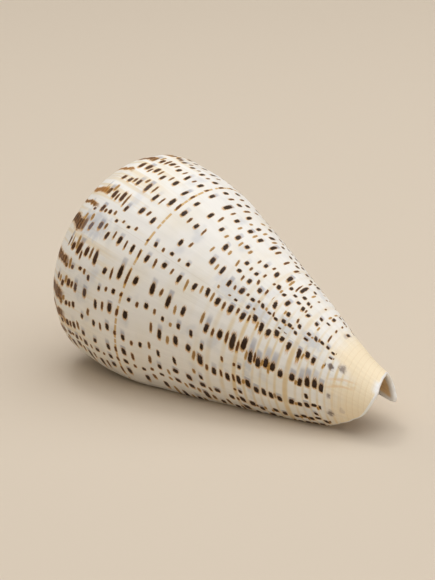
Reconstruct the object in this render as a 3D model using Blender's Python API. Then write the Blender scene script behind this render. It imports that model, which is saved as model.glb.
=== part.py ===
"""Cone shell: a heavy right-handed cone snail shell, lying on its opening.

The shell is one closed body. Its surface is a logarithmic spiral: one profile
(spire ramp, shoulder and long tapering side) turns about the axis and shrinks by
the same ratio on every turn back from the lip. The last turn is hollow behind the
lip, and the earlier turns close the hollow from inside. Sizes are in metres.
"""

import bmesh
import bpy
from math import cos, radians, sin
from mathutils import Matrix, Vector

# Driving sizes. Length is from the apex of the spire to the far corner of the tip.
LENGTH = 0.100
GROWTH = 1.23
STEPS_PER_TURN = 48
SPIRE_TURNS = 9
NAME = "shell"

# How the shell lies: the axis falls towards the tip, and the lip is this far round
# from the horizontal on the side that carries it.
AXIS_FALL = radians(13.8)
LIP_ROUND = radians(-49.7)

# Outline of the last turn, as (distance from the apex, radius) in parts of LENGTH.
# It starts at the crest of the shoulder. Past 1.0 it only serves earlier turns,
# whose scale is smaller.
OUTLINE = ((0.065, 0.272), (0.095, 0.298), (0.150, 0.318), (0.275, 0.316), (0.470, 0.271),
           (0.660, 0.212), (0.850, 0.149), (0.960, 0.109), (1.080, 0.080), (1.500, 0.050))
# The same line where the turn has become the pillar (columella) inside the shell.
PILLAR = ((0.065, 0.272), (0.095, 0.298), (0.150, 0.318), (0.275, 0.316), (0.470, 0.271),
          (0.660, 0.207), (0.800, 0.142), (0.950, 0.072), (1.100, 0.038), (1.500, 0.026))
PILLAR_FROM = 240.0
PILLAR_FULL = 425.0
PILLAR_SHIFT = 0.045 * LENGTH
PILLAR_SIDE = 285.0

# Where the sheet ends towards the tip: (degrees back from the lip, distance from the
# far corner in parts of LENGTH). The dip at 180 is the notch of the canal.
TIP_EDGE = ((0, -0.085), (15, -0.048), (30, -0.016), (60, 0.013), (85, 0.015), (110, 0.004),
            (140, -0.012), (180, -0.025), (220, -0.008), (244, 0.004), (248, -0.010),
            (255, -0.080), (262, -0.088), (280, -0.080), (310, -0.088), (370, -0.120),
            (640, -0.150))

# The wall, and how far the hollow runs back from the lip.
HOLLOW_BACK = 270.0
WALL_SHOULDER = 0.022 * LENGTH
WALL_TIP = 0.012 * LENGTH
EDGE_ROUNDING = 0.45
RAMP_BULGE = 0.006 * LENGTH
RAMP_POINTS = 3
SIDE_POINTS = 24
FIRST_SIDE_STEP = 0.022

COLOUR = (0.93, 0.90, 0.82, 1.0)


def curve_value(points, x):
    """Smooth value at x of a line through points."""
    xs = [p[0] for p in points]
    ys = [p[1] for p in points]
    slopes = [(ys[i + 1] - ys[i]) / (xs[i + 1] - xs[i]) for i in range(len(xs) - 1)]
    gaps = [b - a for a, b in zip(xs, xs[1:])]
    tangents = [slopes[0]]
    for n in range(1, len(slopes)):
        near = gaps[n] * slopes[n - 1] + gaps[n - 1] * slopes[n]
        tangents.append(near / (gaps[n - 1] + gaps[n]))
    tangents.append(slopes[-1])
    if x <= xs[0]:
        return ys[0]
    if x >= xs[-1]:
        return ys[-1]
    i = max(n for n in range(len(xs) - 1) if xs[n] <= x)
    width = xs[i + 1] - xs[i]
    u = (x - xs[i]) / width
    return ((2 * u ** 3 - 3 * u ** 2 + 1) * ys[i] + (u ** 3 - 2 * u ** 2 + u) * width * tangents[i]
            + (3 * u ** 2 - 2 * u ** 3) * ys[i + 1] + (u ** 3 - u ** 2) * width * tangents[i + 1])


def smooth(low, high, x):
    u = min(max((x - low) / (high - low), 0.0), 1.0)
    return u * u * (3 - 2 * u)


def back_degrees(step):
    return 360.0 * step / STEPS_PER_TURN


def scale_at(step):
    """Size of the turn this many steps back from the lip, where the lip is 1."""
    return GROWTH ** (-step / STEPS_PER_TURN)


def outward(degrees):
    """Direction away from the axis, this many degrees back from the lip.

    In the shell's own frame the apex is the origin, the axis runs along +Z to the
    tip, the lip is on +X and the earlier growth lies towards -Y.
    """
    return Vector((cos(radians(degrees)), -sin(radians(degrees)), 0))


def side_share(j):
    """Share of the side's length at row j: short rows at the shoulder."""
    if j == 0:
        return 0.0
    u = (j - 1) / (SIDE_POINTS - 1)
    return FIRST_SIDE_STEP + (1 - FIRST_SIDE_STEP) * (0.55 * u + 0.45 * u * u * (3 - 2 * u))


def side_point(step, j):
    """Point of the outer sheet: row 0 is the shoulder's crest, the last the tip edge."""
    back = back_degrees(step)
    scale = scale_at(step)
    end = (1.0 + curve_value(TIP_EDGE, back)) / scale
    along = OUTLINE[0][0] + (end - OUTLINE[0][0]) * side_share(j)
    pillar = smooth(PILLAR_FROM, PILLAR_FULL, back)
    radius = (1 - pillar) * curve_value(OUTLINE, along) + pillar * curve_value(PILLAR, along)
    point = scale * LENGTH * (outward(back) * radius + Vector((0, 0, along)))
    shift = PILLAR_SHIFT * pillar * smooth(0.75, 0.95, scale * along)
    return point + outward(PILLAR_SIDE) * shift


def ramp_point(step, m):
    """Point of the spire ramp: m runs from the seam to the shoulder's crest."""
    share = m / RAMP_POINTS
    inner = side_point(step + STEPS_PER_TURN, 0)
    outer = side_point(step, 0)
    bulge = 4 * share * (1 - share) * RAMP_BULGE * scale_at(step)
    return inner.lerp(outer, share) - Vector((0, 0, bulge))


def chain_point(step, m):
    """Outer line at one step: the ramp from the seam, then the side to the tip edge."""
    return ramp_point(step, m) if m < RAMP_POINTS else side_point(step, m - RAMP_POINTS)


def skin_point(step, m):
    """Inner face of the wall behind chain_point."""
    last = RAMP_POINTS + SIDE_POINTS
    before = chain_point(step, m - 1)
    after = chain_point(step, min(m + 1, last))
    here = chain_point(step, m)
    outside = outward(back_degrees(step))
    inward = (after - before).cross(outside.cross(Vector((0, 0, 1)))).normalized()
    if inward.dot(outside - Vector((0, 0, 1))) > 0:
        inward.negate()
    share = m / last
    return here + inward * (WALL_SHOULDER + (WALL_TIP - WALL_SHOULDER) * share ** 1.5)


def build_mesh():
    """Make the closed body in the shell's own frame."""
    work = bmesh.new()
    known = {}

    def vertex(kind, step, row):
        if kind == "chain" and row == 0:
            kind, step = "side", step + STEPS_PER_TURN
        elif kind == "chain" and row >= RAMP_POINTS:
            kind, row = "side", row - RAMP_POINTS
        elif kind == "skin" and row == 0:
            kind, step, row = "side", step + STEPS_PER_TURN, 1
        key = (kind, step, row)
        if key not in known:
            makers = {"chain": chain_point, "side": side_point, "skin": skin_point}
            known[key] = work.verts.new(makers[kind](step, row))
        return known[key]

    def sheet(kind, steps, rows):
        for step in steps:
            for row in rows:
                work.faces.new((vertex(kind, step, row), vertex(kind, step, row + 1),
                                vertex(kind, step + 1, row + 1), vertex(kind, step + 1, row)))

    turn = STEPS_PER_TURN
    hollow = round(turn * HOLLOW_BACK / 360)
    last_row = RAMP_POINTS + SIDE_POINTS
    spire_end = turn * SPIRE_TURNS

    sheet("chain", range(spire_end), range(RAMP_POINTS))
    sheet("side", range(turn), range(SIDE_POINTS))
    sheet("side", range(turn, turn + hollow), range(1, SIDE_POINTS))
    sheet("skin", range(hollow), range(last_row))

    # Rounded edge of the lip, then of the tip, with one raised line along each.
    ridge = {}
    for row in range(1, last_row + 1):
        outer, inner = vertex("chain", 0, row), vertex("skin", 0, row)
        lift = EDGE_ROUNDING * (outer.co - inner.co).length
        ridge["lip", row] = work.verts.new((outer.co + inner.co) / 2 + Vector((0, lift, 0)))
    ridge["tip", 0] = ridge["lip", last_row]
    for step in range(1, hollow + 1):
        outer, inner = vertex("chain", step, last_row), vertex("skin", step, last_row)
        lift = EDGE_ROUNDING * (outer.co - inner.co).length
        ridge["tip", step] = work.verts.new((outer.co + inner.co) / 2 + Vector((0, 0, lift)))
    seam = (vertex("chain", 0, 0), vertex("skin", 0, 0))
    first = (vertex("chain", 0, 1), vertex("skin", 0, 1))
    work.faces.new((seam[0], first[0], ridge["lip", 1]))
    work.faces.new((seam[1], first[1], ridge["lip", 1]))
    work.faces.new((seam[0], seam[1], ridge["lip", 1]))
    for row in range(1, last_row):
        for kind in ("chain", "skin"):
            work.faces.new((vertex(kind, 0, row), vertex(kind, 0, row + 1),
                            ridge["lip", row + 1], ridge["lip", row]))
    for step in range(hollow):
        for kind in ("chain", "skin"):
            work.faces.new((vertex(kind, step, last_row), vertex(kind, step + 1, last_row),
                            ridge["tip", step + 1], ridge["tip", step]))

    # Deep end of the hollow: the wall's inner line against the earlier turn's line.
    inner_line = [vertex("skin", hollow, row) for row in range(last_row + 1)]
    core_line = [vertex("side", turn + hollow, row) for row in range(1, SIDE_POINTS + 1)]
    i, j = 0, 0
    while i < len(inner_line) - 1 or j < len(core_line) - 1:
        skip_core = j == len(core_line) - 1
        if not skip_core and i < len(inner_line) - 1:
            skip_core = inner_line[i + 1].co.z <= core_line[j + 1].co.z
        if skip_core:
            corners = [inner_line[i], inner_line[i + 1], core_line[j]]
            i += 1
        else:
            corners = [inner_line[i], core_line[j + 1], core_line[j]]
            j += 1
        if len(set(corners)) == 3:
            work.faces.new(corners)

    # End of the pillar, and the nucleus at the apex, each a fan about its middle.
    pillar_loop = [vertex("side", step, SIDE_POINTS) for step in range(hollow, turn + hollow + 1)]
    pillar_loop += [inner_line[-1], ridge["tip", hollow]]
    nucleus_loop = [vertex("side", step, 0) for step in range(spire_end, spire_end + turn + 1)]
    nucleus_loop += [vertex("chain", spire_end, row) for row in range(1, RAMP_POINTS)]
    for loop, lift in ((pillar_loop, 0.0), (nucleus_loop, -0.004 * LENGTH)):
        middle = sum((v.co for v in loop), Vector()) / len(loop) + Vector((0, 0, lift))
        centre = work.verts.new(middle)
        for one, other in zip(loop, loop[1:] + loop[:1]):
            work.faces.new((one, other, centre))

    bmesh.ops.triangulate(work, faces=work.faces)
    bmesh.ops.recalc_face_normals(work, faces=work.faces)
    return work


def lay_down(work):
    """Turn the shell to how it lies, tip towards +X, and put it on the ground."""
    along = Vector((cos(AXIS_FALL), 0, -sin(AXIS_FALL)))
    level = along.cross(Vector((0, 0, 1))).normalized()
    upward = level.cross(along)
    lip = level * cos(LIP_ROUND) + upward * sin(LIP_ROUND)
    back = -level * sin(LIP_ROUND) + upward * cos(LIP_ROUND)
    turn = Matrix((lip, -back, along)).transposed().to_4x4()
    bmesh.ops.transform(work, matrix=turn, verts=work.verts)
    low = Vector([min(v.co[n] for v in work.verts) for n in range(3)])
    high = Vector([max(v.co[n] for v in work.verts) for n in range(3)])
    move = Vector((-(low.x + high.x) / 2, -(low.y + high.y) / 2, -low.z))
    bmesh.ops.translate(work, vec=move, verts=work.verts)
    bmesh.ops.recalc_face_normals(work, faces=work.faces)


def make_material():
    material = bpy.data.materials.new("shell ceramic")
    material.use_nodes = True
    shader = material.node_tree.nodes["Principled BSDF"]
    shader.inputs["Base Color"].default_value = COLOUR
    shader.inputs["Roughness"].default_value = 0.3
    return material


def main():
    for old in list(bpy.data.objects):
        bpy.data.objects.remove(old)
    work = build_mesh()
    lay_down(work)
    mesh = bpy.data.meshes.new(NAME)
    work.to_mesh(mesh)
    work.free()
    mesh.materials.append(make_material())
    collection = bpy.data.collections.new("cone shell")
    bpy.context.scene.collection.children.link(collection)
    collection.objects.link(bpy.data.objects.new(NAME, mesh))


main()
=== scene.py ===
"""Cone shell: a heavy right-handed cone snail shell with dashed spiral markings.

The shell is one piece. A flat plan of its sheets (spire, last turn, inner wall, lip
and tip edges) is welded in code, and a Geometry Nodes tree rolls the plan up into
the logarithmic spiral that the real shell grows by. Sizes are in metres.
"""

from functools import reduce
from math import cos, pi, radians, sin
from types import SimpleNamespace

import bmesh
import bpy
from mathutils import Matrix, Vector


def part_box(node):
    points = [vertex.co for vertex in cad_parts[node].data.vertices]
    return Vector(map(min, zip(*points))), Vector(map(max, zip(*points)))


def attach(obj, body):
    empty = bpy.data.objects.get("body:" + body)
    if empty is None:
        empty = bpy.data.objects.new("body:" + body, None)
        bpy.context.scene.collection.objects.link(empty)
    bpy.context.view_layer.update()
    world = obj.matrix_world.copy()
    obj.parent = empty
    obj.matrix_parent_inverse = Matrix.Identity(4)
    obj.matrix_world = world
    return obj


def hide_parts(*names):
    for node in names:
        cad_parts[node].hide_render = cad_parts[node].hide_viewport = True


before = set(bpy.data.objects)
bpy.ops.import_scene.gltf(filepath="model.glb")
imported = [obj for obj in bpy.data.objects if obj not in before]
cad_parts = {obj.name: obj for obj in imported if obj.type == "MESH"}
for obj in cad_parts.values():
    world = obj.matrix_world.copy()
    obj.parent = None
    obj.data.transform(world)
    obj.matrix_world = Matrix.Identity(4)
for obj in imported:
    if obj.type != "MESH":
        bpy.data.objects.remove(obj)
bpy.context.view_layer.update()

bl_info = {
    "name": "Cone Shell",
    "version": (1, 0, 0),
    "blender": (4, 5, 0),
    "location": "3D View > Sidebar > Cone Shell",
    "description": "Builds a cone snail shell with dashed spiral markings",
    "category": "Add Mesh",
}

# How the shell lies: its axis falls towards the tip, and the lip is this far round
# from the horizontal.
AXIS_FALL = radians(13.8)
LIP_ROUND = radians(-49.7)

# Outline of the last turn, as (distance from the apex, radius) in parts of the
# length. It starts at the crest of the shoulder.
OUTLINE = ((0.065, 0.272), (0.095, 0.298), (0.150, 0.318), (0.275, 0.316), (0.470, 0.271),
           (0.660, 0.212), (0.850, 0.149), (0.960, 0.109), (1.080, 0.080), (1.500, 0.050))
# The same line once the turn has become the pillar inside the shell.
PILLAR = ((0.065, 0.272), (0.095, 0.298), (0.150, 0.318), (0.275, 0.316), (0.470, 0.271),
          (0.660, 0.207), (0.800, 0.142), (0.950, 0.072), (1.100, 0.038), (1.500, 0.026))
CREST = OUTLINE[0]
PILLAR_FROM, PILLAR_FULL = 240.0, 425.0
PILLAR_SHIFT, PILLAR_SIDE = 0.045, 285.0

# Where the sheet ends towards the tip: (degrees back from the lip, distance from the
# far corner in parts of the length). The dip at 180 is the notch of the canal, and past
# 248, where the sheet is turning into the pillar, it is cut back.
TIP_EDGE = ((0, -0.085), (15, -0.048), (30, -0.016), (60, 0.013), (85, 0.015), (110, 0.004),
            (140, -0.012), (180, -0.025), (220, -0.008), (244, 0.004), (248, -0.010),
            (255, -0.080), (262, -0.088), (280, -0.080), (310, -0.088), (370, -0.120),
            (640, -0.150))

HOLLOW_BACK = 270.0
RAMP_BULGE = 0.006
# Share of the side's height at which the hollow's ceiling meets the turn inside it.
SEAT_ROW = 0.022
# The ramp's rows are counted below zero, at the same length to a row as the side's.
RAMP_ROWS = 0.048

# Where the main rows of dashes lie, as (distance from the apex, number of the row).
ROWS = ((0.060, -2), (0.115, 0), (0.189, 3), (0.269, 5), (0.418, 8), (0.518, 10), (0.591, 12),
        (0.668, 14), (0.699, 15), (0.747, 17), (0.810, 20), (0.842, 21), (0.883, 23), (0.921, 25),
        (1.100, 34))
# Degrees back from the lip of the bands in which the dashes line up, at the shoulder
# and near the tip. The bands after these are an even step apart.
BANDS_SHOULDER = (13, 20, 28, 39, 51, 60, 69, 85, 93, 103, 116, 128, 140, 152, 163)
BANDS_TIP = (-10, 0, 11, 21, 32, 45, 58, 86, 93, 99, 107, 120, 134, 148, 161)
BANDS_A_TURN = 30
WEAK_BANDS = (3, 5, 8)
# The dashed ochre ring, and the broad cream rings near the tip.
RING_AT = 0.342
CREAM_RINGS = ((0.686, 0.0055), (0.826, 0.0075), (0.952, 0.004), (0.998, 0.004))
# Marks where growth paused: (degrees back, half width in degrees, from, to, colour).
GROWTH_MARKS = ((89.6, 0.18, 0.08, 0.93, (0.66, 0.59, 0.47)),
                (113.5, 0.35, 0.05, 0.24, (0.62, 0.38, 0.12)),
                (204.0, 0.30, 0.05, 0.80, (0.40, 0.30, 0.18)),
                (287.0, 0.25, 0.10, 0.90, (0.36, 0.30, 0.22)))
# Orange streaks that cross the tip aslant: degrees back where the tip begins.
TIP_STREAKS = (60.0, 69.0, 171.0)
TIP_FROM = 0.908
# Brown flames at the shoulder: (degrees back, half width in degrees, how dark).
FLAMES = ((8, 2.4, 0.9), (18, 2.7, 1.0), (30, 2.4, 0.9), (41.5, 3.6, 0.95), (61, 2.5, 0.9),
          (81, 3.2, 1.0), (93, 1.1, 0.7), (102.5, 1.9, 0.3), (121, 1.5, 0.4), (137, 2.6, 0.8),
          (151, 2.2, 0.6))
# Soft spots: (distance from the apex, degrees back, half width, half length in degrees,
# strength). First the slate-blue haze between the dashes, then the blotches at the
# border of the tip.
HAZE = ((0.165, 84, 0.055, 8, 0.9), (0.21, 52, 0.030, 7, 0.5), (0.605, 95, 0.045, 7, 0.6),
        (0.70, 95, 0.040, 8, 0.8), (0.78, 98, 0.030, 9, 0.7), (0.855, 101, 0.035, 9, 0.9),
        (0.722, 55, 0.011, 14, 0.8), (0.73, 32, 0.010, 12, 0.6))
BLOTCHES = ((0.931, 88.5, 0.010, 4.5, 0.9), (0.961, 95, 0.013, 6.0, 0.75),
            (0.942, 53, 0.007, 3.5, 0.75), (0.944, 29, 0.011, 5.5, 0.8),
            (0.978, 39, 0.009, 4.5, 0.35), (0.919, 142, 0.008, 6.0, 0.5),
            (0.936, 212, 0.010, 6.0, 0.7), (0.928, 251, 0.012, 5.0, 0.6),
            (0.950, 316, 0.010, 6.0, 0.7))

# Steps along the length: of the spiral cords and the tip's fine lines, and of the
# ridges that comb the flames.
CORD_STEP = 0.0165
FLAME_COMB = 0.0125

# Colours of the ground, from the shoulder to the edge of the tip.
CLOUD = (0.84, 0.77, 0.62)
SHOULDER_STREAK = (0.80, 0.64, 0.38)
CREAM_STRIPE = (0.80, 0.66, 0.42)
CREAM_RING = (0.78, 0.60, 0.34)
TIP_LINE = (0.72, 0.52, 0.26)
TIP_STREAK = (0.80, 0.52, 0.22)
BLOTCH_RIM, BLOTCH_MIDDLE = (0.36, 0.28, 0.28), (0.07, 0.03, 0.025)
WORN_WHITE = (0.93, 0.94, 0.95)
SLATE_HAZE, SLATE_SMEAR = (0.52, 0.55, 0.61), (0.32, 0.33, 0.40)
# Colours of the ring, the dashes and the flames.
OCHRE_RING = (0.62, 0.37, 0.10)
THIN_EDGE, THIN_DASH = (0.70, 0.39, 0.07), (0.11, 0.034, 0.009)
MAIN_EDGE, SLATE_DASH = (0.66, 0.34, 0.06), (0.045, 0.034, 0.038)
SHOULDER_DASH, HAZY_DASH = (0.10, 0.036, 0.014), (0.24, 0.21, 0.23)
FLAME_GLOW = (0.64, 0.35, 0.08)
FLAME_LIGHT, FLAME_DARK = (0.48, 0.20, 0.035), (0.055, 0.012, 0.002)
# Colours of the inside. The tan is partly the shell's warm inside and partly painted shade of the
# hollow.
PORCELAIN, WARM_TAN_AND_SHADE = (0.95, 0.93, 0.89), (0.90, 0.62, 0.30)

STEPS_PER_TURN = 240
SPIRE_TURNS = 9
RAMP_POINTS = 7
SIDE_POINTS = 96
EDGE_POINTS = 4
CAP_RINGS = 5
# How far the caps of the spire's nucleus and of the pillar bow, in parts of the length.
APEX_BOW, PILLAR_BOW = -0.005, 0.006

# The lights are a little cool, and the room round the shell is warm. Each light has its
# name, place, size and share of the key light's power.
LIGHT_COLOUR = (0.98, 1.0, 1.045)
LIGHTS = (("Key", (0.14, 0.12, 1.0), 1.8, 1.0), ("Glint", (-0.30, 0.05, 0.75), 0.16, 0.04),
          ("Fill", (0.20, -0.75, 0.50), 0.6, 0.01))
ROOM_COLOUR, ROOM_LIGHT = (1.0, 0.90, 0.77), 0.32
FLOOR_REACH = 4.0

FRAME_HEIGHT = 580
CAMERA_DISTANCE = 0.60
CAMERA_SIDE = radians(-47.82)
CAMERA_RISE = radians(20.0)
FOCAL_PIXELS = 2227.7
CAMERA_SLIDE = (-0.00556, 0.02539)


class ShellSettings(bpy.types.PropertyGroup):
    length: bpy.props.FloatProperty(
        name="Length", description="From the spire's apex to the far corner of the tip",
        default=0.100, min=0.02, max=0.3, unit="LENGTH")
    growth: bpy.props.FloatProperty(
        name="Growth per turn", description="Size ratio between one turn and the next",
        default=1.23, min=1.05, max=2.0)
    wall_shoulder: bpy.props.FloatProperty(
        name="Wall at shoulder", description="Thickness of the wall at the shoulder",
        default=0.0022, min=0.0005, max=0.01, unit="LENGTH")
    wall_tip: bpy.props.FloatProperty(
        name="Wall at tip", description="Thickness of the wall at the tip's edge",
        default=0.0012, min=0.0003, max=0.01, unit="LENGTH")
    ground: bpy.props.FloatVectorProperty(
        name="Ground colour", description="White ground of the outside",
        default=(0.90, 0.875, 0.82), size=3, subtype="COLOR", min=0, max=1)
    tip_colour: bpy.props.FloatVectorProperty(
        name="Tip colour", description="Cream of the narrow end",
        default=(0.93, 0.79, 0.56), size=3, subtype="COLOR", min=0, max=1)
    dash_colour: bpy.props.FloatVectorProperty(
        name="Dash colour", description="Middle of the dark dashes",
        default=(0.014, 0.0035, 0.001), size=3, subtype="COLOR", min=0, max=1)


class StageSettings(bpy.types.PropertyGroup):
    floor_colour: bpy.props.FloatVectorProperty(
        name="Floor colour", description="Plain floor under the shell",
        default=(0.66, 0.57, 0.455), size=3, subtype="COLOR", min=0, max=1)
    key_power: bpy.props.FloatProperty(
        name="Key light", description="Power of the large soft light", default=14.0, min=0,
        unit="POWER")


class Term:
    """A value in a node tree: Python's arithmetic on it adds Math nodes."""

    def __init__(self, tree, socket):
        self.tree = tree
        self.socket = socket

    def math(self, operation, *others):
        node = self.tree.nodes.new("ShaderNodeMath")
        node.operation = operation
        for slot, value in enumerate((self,) + others):
            connect(self.tree, value, node.inputs[slot])
        return Term(self.tree, node.outputs[0])

    def __add__(self, other):
        return self.math("ADD", other)

    def __radd__(self, other):
        return self.math("ADD", other)

    def __sub__(self, other):
        return self.math("SUBTRACT", other)

    def __rsub__(self, other):
        return (self * -1.0) + other

    def __mul__(self, other):
        return self.math("MULTIPLY", other)

    def __truediv__(self, other):
        return self.math("DIVIDE", other)

    def __neg__(self):
        return self * -1.0

    def smooth(self, low, high):
        """0 below low, 1 above high, eased between them."""
        node = self.tree.nodes.new("ShaderNodeMapRange")
        node.interpolation_type = "SMOOTHSTEP"
        connect(self.tree, self, node.inputs["Value"])
        connect(self.tree, low, node.inputs["From Min"])
        connect(self.tree, high, node.inputs["From Max"])
        return Term(self.tree, node.outputs["Result"])

    def mix(self, low, high):
        """low where this is 0, high where it is 1."""
        return (high - low) * self + low if isinstance(high, Term) else low + self * (high - low)


def connect(tree, value, socket):
    if isinstance(value, Term):
        tree.links.new(value.socket, socket)
    else:
        socket.default_value = value


def fold(operation, terms):
    """The terms joined one after the other by a Math operation, such as MAXIMUM."""
    return reduce(lambda one, other: one.math(operation, other), terms)


def stripe(value, middle, half, low, high):
    """1 where value is at middle, eased to 0 from low to high times half away from it."""
    return 1.0 - ((value - middle).math("ABSOLUTE") / half).smooth(low, high)


def curve_term(value, points):
    """A smooth line through points, read at value by a Float Curve node."""
    tree = value.tree
    low_x, high_x = points[0][0], points[-1][0]
    low_y = min(p[1] for p in points)
    high_y = max(p[1] for p in points)
    node = tree.nodes.new("ShaderNodeFloatCurve")
    curve = node.mapping.curves[0]
    while len(curve.points) < len(points):
        curve.points.new(0.5, 0.5)
    for point, (x, y) in zip(curve.points, points):
        point.location = ((x - low_x) / (high_x - low_x), (y - low_y) / (high_y - low_y))
        point.handle_type = "AUTO"
    node.mapping.update()
    connect(tree, (value - low_x) / (high_x - low_x), node.inputs["Value"])
    return Term(tree, node.outputs["Value"]) * (high_y - low_y) + low_y


def noise_term(x, y, detail=1.0, seed=0.0):
    """Smooth noise, 0 to 1, over the plane of x and y."""
    tree = x.tree
    place = tree.nodes.new("ShaderNodeCombineXYZ")
    for label, value in zip("XYZ", (x, y, seed)):
        connect(tree, value, place.inputs[label])
    node = tree.nodes.new("ShaderNodeTexNoise")
    node.inputs["Scale"].default_value = 1.0
    node.inputs["Detail"].default_value = detail
    tree.links.new(place.outputs[0], node.inputs["Vector"])
    return Term(tree, node.outputs[0])


def chance_terms(x, y, seed):
    """Four random values, 0 to 1, that belong to the whole numbers x and y."""
    tree = x.tree
    place = tree.nodes.new("ShaderNodeCombineXYZ")
    for label, value in zip("XYZ", (x, y, seed)):
        connect(tree, value, place.inputs[label])
    node = tree.nodes.new("ShaderNodeTexWhiteNoise")
    tree.links.new(place.outputs[0], node.inputs["Vector"])
    parts = tree.nodes.new("ShaderNodeSeparateColor")
    tree.links.new(node.outputs["Color"], parts.inputs[0])
    return [Term(tree, s) for s in (node.outputs["Value"], *parts.outputs)]


def blend(share, low, high):
    """Colour low where share is 0, high where it is 1."""
    tree = share.tree
    node = tree.nodes.new("ShaderNodeMix")
    node.data_type = "RGBA"
    connect(tree, share, node.inputs[0])
    for value, socket in ((low, node.inputs[6]), (high, node.inputs[7])):
        connect(tree, value if isinstance(value, Term) else (*value, 1), socket)
    return Term(tree, node.outputs[2])


def new_group(kind, name, inputs, outputs):
    """A node group with named sockets. Returns the tree, its inputs as terms, its output node."""
    tree = bpy.data.node_groups.new(name, kind)
    for label, socket_type, default in inputs:
        item = tree.interface.new_socket(label, in_out="INPUT", socket_type=socket_type)
        if default is not None:
            item.default_value = default
    for label, socket_type in outputs:
        tree.interface.new_socket(label, in_out="OUTPUT", socket_type=socket_type)
    entry = tree.nodes.new("NodeGroupInput")
    leave = tree.nodes.new("NodeGroupOutput")
    terms = {label: Term(tree, entry.outputs[label]) for label, _, _ in inputs}
    return tree, terms, leave


def profile_group():
    """Group that gives the shell's radius and height at one angle and one row."""
    tree, given, leave = new_group(
        "GeometryNodeTree", "Spiral profile",
        [("Back", "NodeSocketFloat", 0.0), ("Row", "NodeSocketFloat", 0.0),
         ("Length", "NodeSocketFloat", 0.1), ("Growth", "NodeSocketFloat", 1.23)],
        [("Radius", "NodeSocketFloat"), ("Height", "NodeSocketFloat"),
         ("Along", "NodeSocketFloat"), ("Pillar", "NodeSocketFloat")])
    back, row, length, growth = (given[k] for k in ("Back", "Row", "Length", "Growth"))
    scale = growth.math("POWER", back / -360.0)
    side_row = row.math("MAXIMUM", 0.0)
    end = (curve_term(back, TIP_EDGE) + 1.0) / scale
    along = (end - CREST[0]) * side_row + CREST[0]
    pillar = back.smooth(PILLAR_FROM, PILLAR_FULL)
    radius = pillar.mix(curve_term(along, OUTLINE), curve_term(along, PILLAR))
    # The ramp runs from the crest of the turn before to this turn's crest.
    climb = (row / RAMP_ROWS + 1.0).math("MINIMUM", 1.0)
    inner = growth.math("POWER", -1.0)
    ramp_share = climb.mix(inner, 1.0)
    bulge = climb * (1.0 - climb) * (4.0 * RAMP_BULGE)
    on_ramp = row.math("LESS_THAN", 0.0)
    radius = on_ramp.mix(radius, ramp_share * CREST[1])
    height = on_ramp.mix(along, ramp_share * CREST[0] - bulge)
    size = scale * length
    for label, value in (("Radius", radius * size), ("Height", height * size),
                         ("Along", on_ramp.mix(along, row + CREST[0])), ("Pillar", pillar)):
        connect(tree, value, leave.inputs[label])
    return tree


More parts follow.
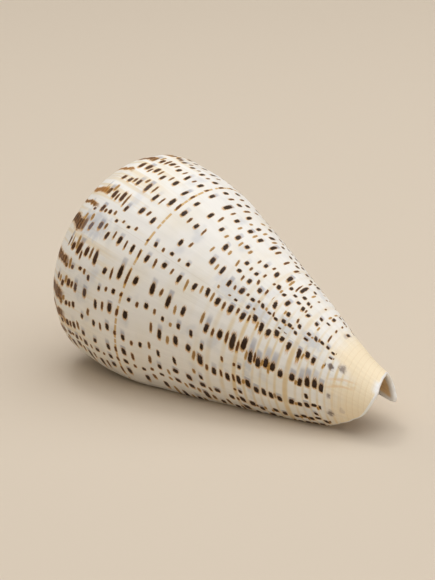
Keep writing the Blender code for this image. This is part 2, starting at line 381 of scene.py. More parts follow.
def shell_tree(material_outside, material_inside):
    """Geometry Nodes tree that rolls the flat plan up into the shell."""
    tree, given, leave = new_group(
        "GeometryNodeTree", "Roll up the shell",
        [("Geometry", "NodeSocketGeometry", None), ("Length", "NodeSocketFloat", 0.1),
         ("Growth", "NodeSocketFloat", 1.23), ("Wall at shoulder", "NodeSocketFloat", 0.0022),
         ("Wall at tip", "NodeSocketFloat", 0.0012), ("Growth ridges", "NodeSocketFloat", 0.00006)],
        [("Geometry", "NodeSocketGeometry")])
    profile = profile_group()
    nodes = tree.nodes
    length, growth = given["Length"], given["Growth"]

    def attribute(name):
        node = nodes.new("GeometryNodeInputNamedAttribute")
        node.data_type = "FLOAT"
        node.inputs["Name"].default_value = name
        return Term(tree, node.outputs["Attribute"])

    def read_profile(back, row):
        node = nodes.new("GeometryNodeGroup")
        node.node_tree = profile
        for label, value in (("Back", back), ("Row", row), ("Length", length), ("Growth", growth)):
            connect(tree, value, node.inputs[label])
        return {o.name: Term(tree, o) for o in node.outputs}

    back, row = attribute("back"), attribute("row")
    depth, edge, tip_side, cap = (attribute(n) for n in ("depth", "edge", "tip_side", "cap"))
    here = read_profile(back, row)
    # The outward direction comes from the profile a little before and after this row.
    step = 0.003
    after = read_profile(back, (row + step).math("MINIMUM", 1.0))
    before = read_profile(back, row - step)
    run = after["Radius"] - before["Radius"]
    climb = after["Height"] - before["Height"]
    slope = (run * run + climb * climb).math("SQRT")
    out_radius, out_height = climb / slope, -(run / slope)
    share = (row + RAMP_ROWS) / (1.0 + RAMP_ROWS)
    wall = share.math("POWER", 1.5).mix(given["Wall at shoulder"], given["Wall at tip"])

    # Fine growth ridges, on the outside only.
    noise = nodes.new("ShaderNodeTexNoise")
    noise.noise_dimensions = "2D"
    place = nodes.new("ShaderNodeCombineXYZ")
    connect(tree, back * 0.30, place.inputs["X"])
    connect(tree, row * 2.0, place.inputs["Y"])
    tree.links.new(place.outputs[0], noise.inputs["Vector"])
    noise.inputs["Scale"].default_value = 1.0
    noise.inputs["Detail"].default_value = 3.0
    ridge = (Term(tree, noise.outputs[0]) - 0.5) * given["Growth ridges"] * (1.0 - depth)

    push = ridge - wall * depth
    radius = here["Radius"] + out_radius * push
    height = here["Height"] + out_height * push + wall * 0.5 * edge * tip_side
    forward = wall * 0.5 * edge * (1.0 - tip_side)
    angle = back * (pi / 180.0)
    cosine, sine = angle.math("COSINE"), angle.math("SINE")
    scale = growth.math("POWER", back / -360.0)
    shift = here["Pillar"] * (here["Along"] * scale).smooth(0.75, 0.95) * length * PILLAR_SHIFT
    side = radians(PILLAR_SIDE)
    x = radius * cosine + shift * cos(side) + forward * sine
    y = radius * -sine + shift * -sin(side) + forward * cosine
    # Caps close the pillar's end and the nucleus of the spire towards their middles.
    at_tip = row.math("GREATER_THAN", 0.5)
    middle_x = at_tip * length * (PILLAR_SHIFT * cos(side))
    middle_y = at_tip * length * (PILLAR_SHIFT * -sin(side))
    bow = cap * (2.0 - cap) * length * at_tip.mix(APEX_BOW, PILLAR_BOW)
    position = nodes.new("ShaderNodeCombineXYZ")
    connect(tree, cap.mix(x, middle_x), position.inputs["X"])
    connect(tree, cap.mix(y, middle_y), position.inputs["Y"])
    connect(tree, height + bow, position.inputs["Z"])

    place_points = nodes.new("GeometryNodeSetPosition")
    keep_along = nodes.new("GeometryNodeStoreNamedAttribute")
    keep_along.data_type = "FLOAT"
    keep_along.domain = "POINT"
    keep_along.inputs["Name"].default_value = "along"
    tree.links.new(given["Geometry"].socket, keep_along.inputs["Geometry"])
    connect(tree, here["Along"], keep_along.inputs["Value"])
    tree.links.new(keep_along.outputs[0], place_points.inputs["Geometry"])
    tree.links.new(position.outputs[0], place_points.inputs["Position"])
    realize = nodes.new("GeometryNodeRealizeInstances")
    tree.links.new(place_points.outputs[0], realize.inputs[0])
    outside = nodes.new("GeometryNodeSetMaterial")
    outside.inputs["Material"].default_value = material_outside
    tree.links.new(realize.outputs[0], outside.inputs["Geometry"])
    inside = nodes.new("GeometryNodeSetMaterial")
    inside.inputs["Material"].default_value = material_inside
    tree.links.new(outside.outputs[0], inside.inputs["Geometry"])
    connect(tree, attribute("inside").math("GREATER_THAN", 0.5), inside.inputs["Selection"])
    tree.links.new(inside.outputs[0], leave.inputs["Geometry"])
    return tree


def side_row(j):
    """Row value of side point j: short rows at the shoulder, the seat row on a point."""
    if j <= EDGE_POINTS:
        return SEAT_ROW * j / EDGE_POINTS
    u = (j - EDGE_POINTS) / (SIDE_POINTS - EDGE_POINTS)
    return SEAT_ROW + (1 - SEAT_ROW) * (0.55 * u + 0.45 * u * u * (3 - 2 * u))


def make_plan():
    """Flat plan of the shell's sheets, welded where they meet, with what each point is."""
    points, faces, known = [], [], {}
    turn = STEPS_PER_TURN
    hollow = round(turn * HOLLOW_BACK / 360)
    last = RAMP_POINTS + SIDE_POINTS

    def describe(kind, step, row, across):
        """Values of one point: back, row, depth, edge, tip_side, cap."""
        back = 360.0 * step / turn
        if kind == "side":
            return back, side_row(row), 0.0, 0.0, 0.0, 0.0
        if kind == "cap":
            return back, side_row(row), 0.0, 0.0, 0.0, across / CAP_RINGS
        low = RAMP_ROWS * (row / RAMP_POINTS - 1) if row < RAMP_POINTS else side_row(row - RAMP_POINTS)
        turned = pi * across / EDGE_POINTS
        tip = 1.0 if kind == "tip" else 0.0
        return back, low, (1 - cos(turned)) / 2, sin(turned), tip, 0.0

    def vertex(kind, step, row, across=0):
        if kind in ("lip", "tip") and across == 0:
            kind = "chain"
        elif kind in ("lip", "tip") and across == EDGE_POINTS:
            kind = "skin"
        elif kind == "cap" and across == 0:
            kind = "side"
        if kind == "lip" and row == 0:
            kind, step, row = "side", turn, across
        if kind == "lip" and row == last:
            kind = "tip"
        if kind == "chain" and row == 0:
            kind, step = "side", step + turn
        elif kind == "chain" and row >= RAMP_POINTS:
            kind, row = "side", row - RAMP_POINTS
        elif kind == "skin" and row == 0:
            kind, step, row = "side", step + turn, EDGE_POINTS
        if kind == "skin":
            across = EDGE_POINTS
        elif kind in ("side", "chain"):
            across = 0
        if kind == "cap" and across == CAP_RINGS:
            step = 0 if row else turn * SPIRE_TURNS
        key = (kind, step, row, across)
        if key not in known:
            known[key] = len(points)
            points.append(describe(kind, step, row, across))
        return known[key]

    def sheet(kind, steps, rows, inside, flip=False):
        for step in steps:
            for row in rows:
                corners = [(step, row), (step + 1, row), (step + 1, row + 1), (step, row + 1)]
                if flip:
                    corners.reverse()
                # The inner edge of the ramp is the crest of the turn before, so what a
                # marking needs to know there is kept by corner and not by point.
                marks = None
                if kind == "chain":
                    marks = [(360.0 * s / turn, RAMP_ROWS * (r / RAMP_POINTS - 1)) for s, r in corners]
                faces.append(([vertex(kind, s, r) for s, r in corners], inside, marks))

    sheet("chain", range(turn * SPIRE_TURNS), range(RAMP_POINTS), 0)
    sheet("side", range(turn), range(SIDE_POINTS), 0)
    sheet("side", range(turn, turn + hollow), range(EDGE_POINTS, SIDE_POINTS), 1)
    sheet("skin", range(hollow), range(last), 1, flip=True)
    for row in range(last):
        for w in range(EDGE_POINTS):
            face = [vertex("lip", 0, row, w), vertex("lip", 0, row + 1, w),
                    vertex("lip", 0, row + 1, w + 1), vertex("lip", 0, row, w + 1)]
            faces.append((list(dict.fromkeys(face)), 1, None))
    for step in range(hollow):
        for w in range(EDGE_POINTS):
            faces.append(([vertex("tip", step, last, w), vertex("tip", step + 1, last, w),
                           vertex("tip", step + 1, last, w + 1), vertex("tip", step, last, w + 1)],
                          1, None))

    # Deep end of the hollow, between the wall's inner line and the turn inside it.
    wall_line = [vertex("skin", hollow, row) for row in range(RAMP_POINTS, last + 1)]
    core_line = [vertex("side", turn + hollow, j) for j in range(SIDE_POINTS + 1)]
    for j in range(EDGE_POINTS, SIDE_POINTS):
        faces.append(([wall_line[j], core_line[j], core_line[j + 1], wall_line[j + 1]], 1, None))
    seat = core_line[EDGE_POINTS]
    ceiling = [vertex("skin", hollow, row) for row in range(RAMP_POINTS + EDGE_POINTS + 1)]
    for one, other in zip(ceiling[1:], ceiling[2:]):
        faces.append(([seat, other, one], 1, None))

    # End of the pillar and the nucleus of the spire.
    tip_line = [(step, SIDE_POINTS) for step in range(hollow, turn + hollow + 1)]
    for one, other in zip(tip_line, tip_line[1:]):
        for ring in range(CAP_RINGS):
            face = [vertex("cap", *one, ring), vertex("cap", *other, ring),
                    vertex("cap", *other, ring + 1), vertex("cap", *one, ring + 1)]
            faces.append((list(dict.fromkeys(face)), 1, None))
    rim = [vertex("tip", hollow, last, w) for w in range(EDGE_POINTS + 1)]
    inner_side = [vertex("cap", *tip_line[0], ring) for ring in range(CAP_RINGS + 1)]
    outer_side = [vertex("cap", *tip_line[-1], ring) for ring in range(CAP_RINGS)]
    faces.append((rim[::-1] + inner_side[1:] + outer_side[::-1], 1, None))
    end = turn * SPIRE_TURNS
    for step in range(end, end + turn):
        for ring in range(CAP_RINGS):
            face = [vertex("cap", step, 0, ring), vertex("cap", step, 0, ring + 1),
                    vertex("cap", step + 1, 0, ring + 1), vertex("cap", step + 1, 0, ring)]
            faces.append((list(dict.fromkeys(face))[::-1], 0, None))
    closing = [vertex("chain", end, row) for row in range(RAMP_POINTS)]
    first = [vertex("cap", end, 0, ring) for ring in range(CAP_RINGS + 1)]
    final = [vertex("cap", end + turn, 0, ring) for ring in range(CAP_RINGS)]
    faces.append((closing[1:] + first + final[::-1], 0, None))
    return points, faces


def plan_mesh(name):
    points, faces = make_plan()
    mesh = bpy.data.meshes.new(name)
    mesh.from_pydata([(p[0] / 360, p[1], p[2]) for p in points], [], [face[0] for face in faces])
    for n, label in enumerate(("back", "row", "depth", "edge", "tip_side", "cap")):
        layer = mesh.attributes.new(label, "FLOAT", "POINT")
        layer.data.foreach_set("value", [p[n] for p in points])
    layer = mesh.attributes.new("inside", "FLOAT", "FACE")
    layer.data.foreach_set("value", [float(side) for _, side, _ in faces])
    marks = []
    for loop, _, own in faces:
        marks += own or [(points[p][0], min(points[p][1], 0.0)) for p in loop]
    for n, label in enumerate(("turned", "ramp")):
        layer = mesh.attributes.new(label, "FLOAT", "CORNER")
        layer.data.foreach_set("value", [mark[n] for mark in marks])
    mesh.update()
    return mesh


def set_inputs(modifier, values):
    """Sets a Geometry Nodes modifier's inputs, found by name, by their identifiers."""
    for item in modifier.node_group.interface.items_tree:
        if item.item_type == "SOCKET" and item.in_out == "INPUT" and item.name in values:
            modifier[item.identifier] = values[item.name]


def lying_matrix():
    """Turns the shell's own frame (apex at the origin, axis +Z) to how it lies."""
    along = Vector((cos(AXIS_FALL), 0, -sin(AXIS_FALL)))
    level = along.cross(Vector((0, 0, 1))).normalized()
    upward = level.cross(along)
    lip = level * cos(LIP_ROUND) + upward * sin(LIP_ROUND)
    back = -level * sin(LIP_ROUND) + upward * cos(LIP_ROUND)
    return Matrix((lip, -back, along)).transposed().to_4x4()


def face_outwards(mesh):
    """Turns every face of a closed mesh outwards."""
    work = bmesh.new()
    work.from_mesh(mesh)
    bmesh.ops.recalc_face_normals(work, faces=work.faces)
    work.to_mesh(mesh)
    work.free()


def principled(material):
    material.use_nodes = True
    return material.node_tree, material.node_tree.nodes["Principled BSDF"]


def read_attribute(tree, name):
    node = tree.nodes.new("ShaderNodeAttribute")
    node.attribute_name = name
    return Term(tree, node.outputs["Fac"])


def use_group(tree, group, **values):
    """Places a group and gives its outputs as terms. Sockets are named with spaces."""
    node = tree.nodes.new("ShaderNodeGroup")
    node.node_tree = group
    for label, value in values.items():
        connect(tree, value, node.inputs[label.replace("_", " ")])
    return {o.name: Term(tree, o) for o in node.outputs}


def dash_group():
    """Masks of one kind of dash: dark middle, brown edge, grey smear, and how high up it is."""
    number = "NodeSocketFloat"
    tree, given, leave = new_group(
        "ShaderNodeTree", "Dashes",
        [("Across", number, 0.0), ("Around", number, 0.0), ("Row", number, 0.0),
         ("Half length", number, 0.22), ("Half width", number, 0.0065), ("Chance", number, 0.9),
         ("Seed", number, 0.0)],
        [("Core", number), ("Edge", number), ("Smear", number), ("Upper", number)])
    across, around, row = (given[k] for k in ("Across", "Around", "Row"))
    band = around.math("ROUND")
    luck, shift, size, extra = chance_terms(band, row, given["Seed"])
    here = around - band - (shift - 0.5) * 0.30
    half = given["Half length"] * size.mix(0.74, 1.20) * (1.0 + extra.smooth(0.90, 0.96) * 0.7)
    half = half.math("MINIMUM", 0.33)
    # Nothing reaches over into the next band's cell.
    room = 1.0 - (around - band).math("ABSOLUTE").smooth(0.42, 0.50)
    ragged = (noise_term(around * 10.0, across * 480.0, 2.0) - 0.5) * 0.7
    slant = across + here * (size - 0.5) * 0.014
    sideways = slant.math("ABSOLUTE") / (given["Half width"] * shift.mix(0.82, 1.15))
    power = 2.8

    def reach(wide, long, low):
        """0 at the middle and 1 at the rim of a rounded block, shifted down by low."""
        lengthways = (here + half * low).math("ABSOLUTE") / half
        total = (sideways / wide).math("POWER", power) + (lengthways / long).math("POWER", power)
        return total.math("POWER", 1.0 / power) + ragged

    there = (given["Chance"] - luck).smooth(-0.0005, 0.0005) * room
    core = (1.0 - reach(1.0, 1.0, 0.0).smooth(0.70, 1.0)) * there
    edge = (1.0 - reach(1.24, 1.30, 0.10).smooth(0.62, 1.02)) * there
    lifted = ((here - half * 0.9).math("ABSOLUTE") / (half * 1.7)).smooth(0.15, 1.0)
    smear = (1.0 - lifted) * (1.0 - sideways.smooth(0.5, 1.5)) * extra.smooth(0.25, 0.8) * there
    for label, value in (("Core", core), ("Edge", edge), ("Smear", smear),
                         ("Upper", (here / half).smooth(-0.6, 1.1))):
        connect(tree, value, leave.inputs[label])
    return tree


def soft_spots(at, places):
    """Mask of soft ragged spots at the given places."""
    rough = (noise_term(at.turned * 0.24, at.along * 75.0, 3.0, 51.0) - 0.5) * 3.0
    spots = []
    for there, back, wide, tall, strength in places:
        x = (at.along - there) / wide
        y = (at.turned - back) / tall
        spots.append((1.0 - (x * x + y * y + rough).smooth(0.0, 1.55)) * strength)
    return fold("MAXIMUM", spots)


def growth_group():
    """Growth lines and spiral cords: a height for the bump and a shade for the colour."""
    number = "NodeSocketFloat"
    tree, given, leave = new_group(
        "ShaderNodeTree", "Growth lines",
        [("Turned", number, 0.0), ("Along", number, 0.0), ("Cords", number, 1.0)],
        [("Height", number), ("Shade", number)])
    turned, along = given["Turned"], given["Along"]
    fine = noise_term(turned * 1.5, along * 5.0, 3.0)
    broad = noise_term(turned * 0.22, along * 3.0, 2.0, 4.0)
    cord = (along * (2.0 * pi / CORD_STEP) + fine * 1.2).math("SINE")
    anterior = along.smooth(0.80, 0.98)
    height = fine * 0.55 + broad * 0.9 + cord * anterior * given["Cords"] * 0.22
    connect(tree, height, leave.inputs["Height"])
    connect(tree, (fine - 0.5) * 0.7 + (broad - 0.5) + 0.5, leave.inputs["Shade"])
    return tree


def band_curve(value, centres):
    """Number of the band at value degrees, whole on each band's middle."""
    step = (360 - centres[-1]) / (BANDS_A_TURN - len(centres) + 0.5)
    points = [(c, n) for n, c in enumerate(centres) if c > 0]
    first = points[0]
    points.insert(0, (0, first[1] - (0.5 if first[1] == 0 else 1.0)))
    points += [(centres[-1] + step * n, len(centres) - 1 + n) for n in (4, 8, 12)]
    points.append((360, BANDS_A_TURN - 0.5))
    return curve_term(value, points)


def pattern_place(tree):
    """Where a point of the outside lies in the pattern, as terms in a namespace."""
    at = SimpleNamespace()
    at.turned, at.ramp, along = (read_attribute(tree, n) for n in ("turned", "ramp", "along"))
    at.on_ramp = at.ramp.math("LESS_THAN", -0.00001)
    at.along = at.on_ramp.mix(along, at.ramp + CREST[0])
    at.turn = (at.turned / 360.0).math("FLOOR")
    at.in_turn = at.turned - at.turn * 360.0
    at.to_tip = at.along.smooth(0.40, 0.80)
    # Rows of dashes run round the shell, and their dashes line up in bands along it. Over
    # the top and round the far side the bands wander more.
    at.row = curve_term(at.along, ROWS)
    at.main_row = at.row.math("ROUND")
    at.loose = at.in_turn.smooth(88.0, 115.0) * at.along.smooth(0.40, 0.58)
    wander = noise_term(at.turned * 0.035, at.along * 8.0, 1.0, 2.0) - 0.5
    shoulder, tip = (band_curve(at.in_turn, centres) for centres in (BANDS_SHOULDER, BANDS_TIP))
    at.band = at.to_tip.mix(shoulder, tip) + wander * at.loose.mix(0.55, 1.8)
    at.cloud = noise_term(at.turned * 0.035, at.along * 9.0, 3.0, 9.0)
    return at


def weakness(around):
    """1 in the bands whose dashes are small."""
    band = around.math("ROUND")
    return fold("ADD", [band.math("COMPARE", float(n), 0.1) for n in WEAK_BANDS])


def dash_layers(tree, at):
    """The main dashes, the thin ones between their rows, and how dark the thin ones are."""
    dashes = dash_group()
    place_of_row = tuple((number, place) for place, number in ROWS)
    low = 1.0 - at.in_turn.smooth(52.0, 78.0)
    near = 1.0 - at.in_turn.smooth(80.0, 125.0)
    lengthen = near * at.along.smooth(0.40, 0.60)
    crowded = at.along.smooth(0.68, 0.74)
    present = (1.0 - at.along.smooth(0.915, 0.945)) * at.along.smooth(0.10, 0.14)

    def row_of_dashes(row, seed):
        """Sockets that place a row of dashes, its weak bands and its random values."""
        luck = chance_terms(row, at.turn, seed)
        around = at.band + (luck[1] - 0.5) * at.loose.mix(0.34, 0.9)
        sockets = {"Across": at.along - curve_term(row, place_of_row), "Around": around,
                   "Row": row + at.turn * 40.0}
        return sockets, weakness(around), luck

    sockets, weak, _ = row_of_dashes(at.main_row, 7.0)
    chance = at.loose.mix(0.95, 0.74) - crowded * at.loose * at.to_tip * 0.22
    main = use_group(
        tree, dashes, **sockets, Seed=1.0, Chance=(chance - weak * at.to_tip * 0.9) * present,
        Half_length=(lengthen * 0.04 + 0.225) * (1.0 - weak * 0.28),
        Half_width=(lengthen.mix(0.0068, 0.0074) + low * 0.0005) * (1.0 - weak * 0.15))
    sockets, weak, luck = row_of_dashes(at.row.math("FLOOR") + 0.5, 8.0)
    chance = luck[2] * 0.3 + 0.68 - crowded * 0.35
    thin = use_group(
        tree, dashes, **sockets, Seed=2.0, Chance=(chance - weak * at.to_tip * 0.6) * present,
        Half_length=(low * 0.02 + 0.20) * (1.0 - weak * 0.25),
        Half_width=0.0042 - crowded * 0.0008 + low * 0.0009)
    return main, thin, luck[3].smooth(0.205, 0.705)


def flame_layers(at):
    """Flames at the shoulder and on the spire: their mask, the glow round them, how dark."""
    wave = noise_term(at.turned * 0.10, at.along * 30.0, 2.0, 5.0) - 0.5
    middle = at.band + at.on_ramp.mix(0.0, at.ramp * 14.0) + wave * 0.5
    band = middle.math("ROUND")
    luck = chance_terms(band, at.turn, 3.0)
    rough = (noise_term(at.turned * 0.9, at.along * 160.0, 2.0, 6.0) - 0.5) * 1.1
    absent = luck[0].math("GREATER_THAN", 0.72)
    level = (middle - band).math("ABSOLUTE") / luck[1].mix(0.10, 0.46) + rough + absent * 9.0
    # For nearly half a turn back from the lip the flames have their own places.
    wobble = (noise_term(at.turned * 0.04, at.along * 30.0, 2.0, 5.0) - 0.5) * 7.0
    gaps = [(at.turned + wobble - place).math("ABSOLUTE") / half + rough * 0.8
            for place, half, _ in FLAMES]
    shares = [(1.0 - gap.smooth(0.8, 1.6)) * flame[2] for gap, flame in zip(gaps, FLAMES)]
    beyond = at.turned.smooth(158.0, 164.0)
    level = beyond.mix(fold("MINIMUM", gaps), level)
    dark = beyond.mix(fold("MAXIMUM", shares), luck[3].smooth(0.2, 0.6))
    reach = luck[2].mix(0.095, 0.135)
    reach = beyond.mix(reach * 0.5 + 0.080, reach)
    ending = 1.0 - ((at.along - reach) / 0.02).smooth(-0.6, 0.6)
    comb = (at.along * (2.0 * pi / FLAME_COMB) + rough * 2.0).math("SINE").smooth(-0.95, -0.1)
    mask = (1.0 - level.smooth(0.72, 1.0)) * ending * at.on_ramp.mix(comb.mix(0.8, 1.0), 1.0)
    glow = (1.0 - level.smooth(0.90, 1.50)) * ending
    return mask, glow, dark


def ground_colour(at, white):
    """White with cream clouds, and cream rings towards the tip."""
    colour = blend(at.cloud.smooth(0.45, 0.75) * 0.55, tuple(white), CLOUD)
    axial = noise_term(at.turned * 0.33, at.along * 2.5, 2.0, 10.0).smooth(0.48, 0.68)
    colour = blend(axial * (1.0 - at.along.smooth(0.14, 0.38)) * 0.6, colour, SHOULDER_STREAK)
    between = ((at.row - at.main_row).math("ABSOLUTE") * 2.0).smooth(0.45, 0.95)
    striped = between * at.along.smooth(0.50, 0.72) * (1.0 - at.in_turn.smooth(85.0, 140.0) * 0.8)
    uneven = noise_term(at.turned * 0.045, at.along * 12.0, 2.0, 14.0).smooth(0.35, 0.62)
    colour = blend(striped * uneven.mix(0.35, 0.85), colour, CREAM_STRIPE)
    rings = fold("MAXIMUM", [stripe(at.along, place, half, 0.4, 1.3) for place, half in CREAM_RINGS])
    rings = rings * (1.0 - at.in_turn.smooth(50.0, 140.0) * 0.75)
    return blend(rings * uneven.mix(0.45, 0.8), colour, CREAM_RING)


def add_tip(colour, at, shade, cream):
    """The cream tip over colour, with its lines, streaks, blotches and worn edge."""
    # The cream starts later where the white runs out over the tip.
    late = stripe(at.in_turn, 89.0, 20.0, 0.2, 1.0) * 0.045
    late = late + (1.0 - at.in_turn.smooth(70.0, 110.0)) * 0.028
    fuzz = (noise_term(at.turned * 0.05, at.along * 14.0, 3.0, 12.0) - 0.5) * 0.07
    tip = (at.along - late + fuzz).smooth(TIP_FROM - 0.035, TIP_FROM + 0.065)
    colour = blend(tip, colour, tuple(cream))
    lines = (at.along * (2.0 * pi / CORD_STEP) + shade * 2.0).math("SINE").smooth(0.85, 1.0)
    colour = blend(lines * tip * 0.22, colour, TIP_LINE)
    drift = (noise_term(at.turned * 0.1, at.along * 20.0, 1.0, 18.0) - 0.5) * 12.0
    slant = at.in_turn - (at.along - TIP_FROM) * 200.0 + drift
    crossing = at.along.smooth(0.925, 0.95) * (1.0 - at.along.smooth(0.98, 1.03))
    for place in TIP_STREAKS:
        colour = blend(stripe(slant, place, 2.4, 0.1, 1.2) * crossing * 0.45, colour, TIP_STREAK)
    blotch = soft_spots(at, BLOTCHES)
    colour = blend(blotch * 0.9, colour, blend(blotch.smooth(0.35, 0.8), BLOTCH_RIM, BLOTCH_MIDDLE))
    # Worn white at the near edge of the opening.
    worn = stripe(at.in_turn, 103.0, 17.0, 0.4, 1.0) * at.along.smooth(1.048, 1.072)
    return blend(worn * 0.9, colour, WORN_WHITE)


def outside_material(settings, growth_lines):
    """White ground, cream tip, slate haze, ochre ring, rows of dashes and brown flames."""
    material = bpy.data.materials.new("Patterned shell")
    tree, shader = principled(material)
    at = pattern_place(tree)
    growth = use_group(tree, growth_lines, Turned=at.turned, Along=at.along)
    main, thin, thin_dark = dash_layers(tree, at)
    flame, glow, flame_dark = flame_layers(at)
    colour = add_tip(ground_colour(at, settings.ground), at, growth["Shade"], settings.tip_colour)

    # Slate-blue haze in patches between the dashes.
    haze = noise_term(at.turned * 0.06, at.along * 15.0, 2.0, 21.0).smooth(0.56, 0.76)
    haze = haze * (1.0 - at.along.smooth(0.86, 0.93)) * at.along.smooth(0.07, 0.12)
    haze = (haze * 0.6).math("MAXIMUM", soft_spots(at, HAZE))
    colour = blend(haze * 0.62, colour, SLATE_HAZE)
    colour = blend(main["Smear"] * 0.68, colour, SLATE_SMEAR)

    # The dashed ochre ring, and the lines where growth paused.
    dashed = noise_term(at.turned * 0.28, 3.0, 1.0, 31.0).smooth(0.42, 0.50)
    ring = stripe(at.along, RING_AT, 0.0040, 0.6, 1.1) * dashed
    colour = blend(ring * 0.85, colour, OCHRE_RING)
    for place, half, low, high, mark_colour in GROWTH_MARKS:
        wavy = (noise_term(at.along * 30.0, 0.0, 2.0, place) - 0.5) * 5.0
        mark = stripe(at.in_turn + wavy * at.along.smooth(0.60, 0.75), place, half, 0.5, 1.5)
        mark = mark * at.along.smooth(low, low + 0.04) * (1.0 - at.along.smooth(high - 0.06, high))
        colour = blend(mark * at.cloud.mix(0.1, 0.6), colour, mark_colour)

    # The thin dashes, the main ones and the flames.
    colour = blend(thin["Edge"] * 0.85, colour, THIN_EDGE)
    colour = blend(thin["Core"] * thin_dark.mix(0.45, 0.95), colour, THIN_DASH)
    colour = blend(main["Edge"] * 0.85, colour, MAIN_EDGE)
    shoulder = 1.0 - at.along.smooth(0.12, 0.30)
    slate = noise_term(at.turned * 0.08, at.along * 20.0, 1.0, 19.0).smooth(0.40, 0.65)
    core = blend(main["Upper"] * slate, tuple(settings.dash_colour), SLATE_DASH)
    core = blend(shoulder * 0.7, core, SHOULDER_DASH)
    core = blend(haze * shoulder * 0.8, core, HAZY_DASH)
    colour = blend(main["Core"] * 0.97, colour, core)
    colour = blend(glow * 0.65, colour, FLAME_GLOW)
    mottle = noise_term(at.turned * 0.5, at.along * 120.0, 2.0, 17.0).smooth(0.30, 0.60)
    flame_colour = blend(flame_dark * mottle.mix(0.6, 1.0), FLAME_LIGHT, FLAME_DARK)
    colour = blend(flame * 0.96, colour, flame_colour)

    shade = (growth["Shade"] - 0.5) * 0.16 + 1.0
    scaled = tree.nodes.new("ShaderNodeVectorMath")
    scaled.operation = "SCALE"
    connect(tree, colour, scaled.inputs[0])
    connect(tree, shade, scaled.inputs["Scale"])
    tree.links.new(scaled.outputs[0], shader.inputs["Base Color"])

    connect(tree, 0.44 + (growth["Shade"] - 0.5) * 0.16, shader.inputs["Roughness"])
    shader.inputs["Specular IOR Level"].default_value = 0.16
    raise_surface(tree, shader, growth["Height"], 0.00012)
    return material


def raise_surface(tree, shader, height, distance):
    bump = tree.nodes.new("ShaderNodeBump")
    bump.inputs["Strength"].default_value = 0.6
    bump.inputs["Distance"].default_value = distance
    connect(tree, height, bump.inputs["Height"])
    tree.links.new(bump.outputs[0], shader.inputs["Normal"])


def inside_material(growth_lines):
    """White porcelain at the lip and the rim, and tan deep inside that is partly warm colour and
    partly painted shade.
    """
    material = bpy.data.materials.new("Porcelain inside")
    tree, shader = principled(material)
    back, along, row, depth = (read_attribute(tree, n) for n in ("back", "along", "row", "depth"))
    growth = use_group(tree, growth_lines, Turned=back, Along=along, Cords=0.3)
    # Painted shade: the tan deep in the hollow is partly the shell's warm inside and partly painted
    # shade. The lip, the tip's rim and a band by the tip stay white porcelain.
    tan_and_shade = depth.smooth(0.75, 1.0) * (1.0 - row.smooth(0.985, 0.996)) * back.smooth(2.0, 14.0)
    tan_and_shade = tan_and_shade * (1.0 - back.smooth(234.0, 243.0) * row.smooth(0.80, 0.86))
    cloud = noise_term(back * 0.05, along * 12.0, 2.0, 41.0)
    colour = blend(tan_and_shade * cloud.mix(0.75, 1.0), PORCELAIN, WARM_TAN_AND_SHADE)
    connect(tree, colour, shader.inputs["Base Color"])
    connect(tree, 0.20 + cloud * 0.14, shader.inputs["Roughness"])
    shader.inputs["Coat Weight"].default_value = 0.2
    shader.inputs["Coat Roughness"].default_value = 0.12
    raise_surface(tree, shader, growth["Height"], 0.00006)
    return material


class SHELL_OT_body(bpy.types.Operator):
    """Build the shell: spire, last turn, inner wall, lip and pillar"""
    bl_idname = "cone_shell.body"
    bl_label = "Shell"

    def execute(self, context):
        settings = context.scene.cone_shell
        plan = bpy.data.objects.new("shell plan", plan_mesh("shell plan"))
        context.scene.collection.objects.link(plan)
        modifier = plan.modifiers.new("Roll up", "NODES")
        growth_lines = growth_group()
        modifier.node_group = shell_tree(outside_material(settings, growth_lines),
                                         inside_material(growth_lines))
        set_inputs(modifier, {"Length": settings.length, "Growth": settings.growth,
                              "Wall at shoulder": settings.wall_shoulder,
                              "Wall at tip": settings.wall_tip})
        graph = context.evaluated_depsgraph_get()
        mesh = bpy.data.meshes.new_from_object(plan.evaluated_get(graph))
        mesh.name = "cone shell body"
        bpy.data.objects.remove(plan)
        face_outwards(mesh)
        mesh.transform(lying_matrix())
        corners = [[f(v.co[n] for v in mesh.vertices) for n in range(3)] for f in (min, max)]
        low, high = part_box("shell")
        mesh.transform(Matrix.Translation((
            (low[0] + high[0] - corners[0][0] - corners[1][0]) / 2,
            (low[1] + high[1] - corners[0][1] - corners[1][1]) / 2, -corners[0][2])))
        mesh.polygons.foreach_set("use_smooth", [True] * len(mesh.polygons))
        shell = bpy.data.objects.new("cone_shell", mesh)
        context.scene.collection.objects.link(shell)
        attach(shell, "root")
        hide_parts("shell")
        return {"FINISHED"}


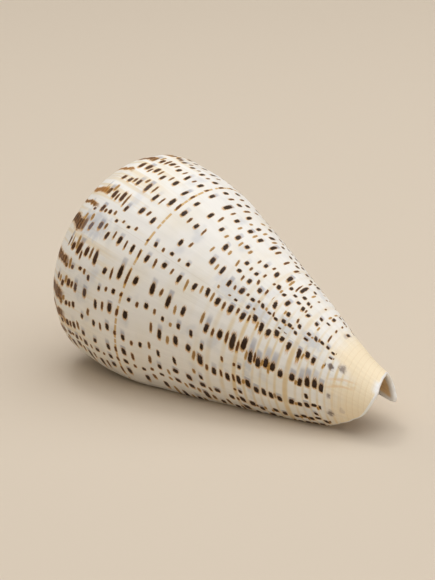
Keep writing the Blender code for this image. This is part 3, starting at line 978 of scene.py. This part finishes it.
class SHELL_OT_stage(bpy.types.Operator):
    """Build the floor, the soft lights and the camera"""
    bl_idname = "cone_shell.stage"
    bl_label = "Stage"

    def execute(self, context):
        settings = context.scene.cone_shell_stage
        scene = context.scene
        floor_mesh = bpy.data.meshes.new("floor")
        far = FLOOR_REACH
        corners = [(-far, -far, 0), (far, -far, 0), (far, far, 0), (-far, far, 0)]
        floor_mesh.from_pydata(corners, [], [(0, 1, 2, 3)])
        floor = bpy.data.objects.new("floor", floor_mesh)
        scene.collection.objects.link(floor)
        paint = bpy.data.materials.new("Floor")
        tree, shader = principled(paint)
        shader.inputs["Base Color"].default_value = (*settings.floor_colour, 1)
        shader.inputs["Roughness"].default_value = 0.9
        floor_mesh.materials.append(paint)

        world = bpy.data.worlds.new("Soft room")
        scene.world = world
        world.use_nodes = True
        background = world.node_tree.nodes["Background"]
        background.inputs["Color"].default_value = (*ROOM_COLOUR, 1)
        background.inputs["Strength"].default_value = ROOM_LIGHT
        for name, place, size, share in LIGHTS:
            lamp = bpy.data.lights.new(name, "AREA")
            lamp.size = size
            lamp.energy = settings.key_power * share
            lamp.color = LIGHT_COLOUR
            light = bpy.data.objects.new(name, lamp)
            light.location = place
            light.rotation_euler = (-Vector(place)).to_track_quat("-Z", "Y").to_euler()
            scene.collection.objects.link(light)

        # The camera stands where the photograph was taken from.
        data = bpy.data.cameras.new("Camera")
        data.sensor_fit = "VERTICAL"
        data.sensor_height = 36.0
        data.lens = FOCAL_PIXELS / FRAME_HEIGHT * data.sensor_height
        camera = bpy.data.objects.new("Camera", data)
        back = Vector((cos(CAMERA_SIDE) * cos(CAMERA_RISE), sin(CAMERA_SIDE) * cos(CAMERA_RISE),
                       sin(CAMERA_RISE)))
        right = Vector((-sin(CAMERA_SIDE), cos(CAMERA_SIDE), 0))
        up = back.cross(right)
        camera.location = back * CAMERA_DISTANCE + right * CAMERA_SLIDE[0] + up * CAMERA_SLIDE[1]
        camera.rotation_euler = Matrix((right, up, back)).transposed().to_euler()
        scene.collection.objects.link(camera)
        scene.camera = camera
        scene.view_settings.view_transform = "Standard"
        return {"FINISHED"}


class SHELL_PT_panel(bpy.types.Panel):
    """Sizes, colours and operators of the cone shell"""
    bl_label = "Cone Shell"
    bl_space_type = "VIEW_3D"
    bl_region_type = "UI"
    bl_category = "Cone Shell"

    def draw(self, context):
        column = self.layout.column()
        for group in (context.scene.cone_shell, context.scene.cone_shell_stage):
            for name in group.__annotations__:
                column.prop(group, name)
        column.operator(SHELL_OT_body.bl_idname)
        column.operator(SHELL_OT_stage.bl_idname)


CLASSES = (ShellSettings, StageSettings, SHELL_OT_body, SHELL_OT_stage, SHELL_PT_panel)


def register():
    for item in CLASSES:
        bpy.utils.register_class(item)
    bpy.types.Scene.cone_shell = bpy.props.PointerProperty(type=ShellSettings)
    bpy.types.Scene.cone_shell_stage = bpy.props.PointerProperty(type=StageSettings)


def unregister():
    del bpy.types.Scene.cone_shell_stage
    del bpy.types.Scene.cone_shell
    for item in reversed(CLASSES):
        bpy.utils.unregister_class(item)


def main():
    register()
    bpy.ops.cone_shell.body()
    bpy.ops.cone_shell.stage()
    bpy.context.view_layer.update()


if __name__ == "__main__":
    main()
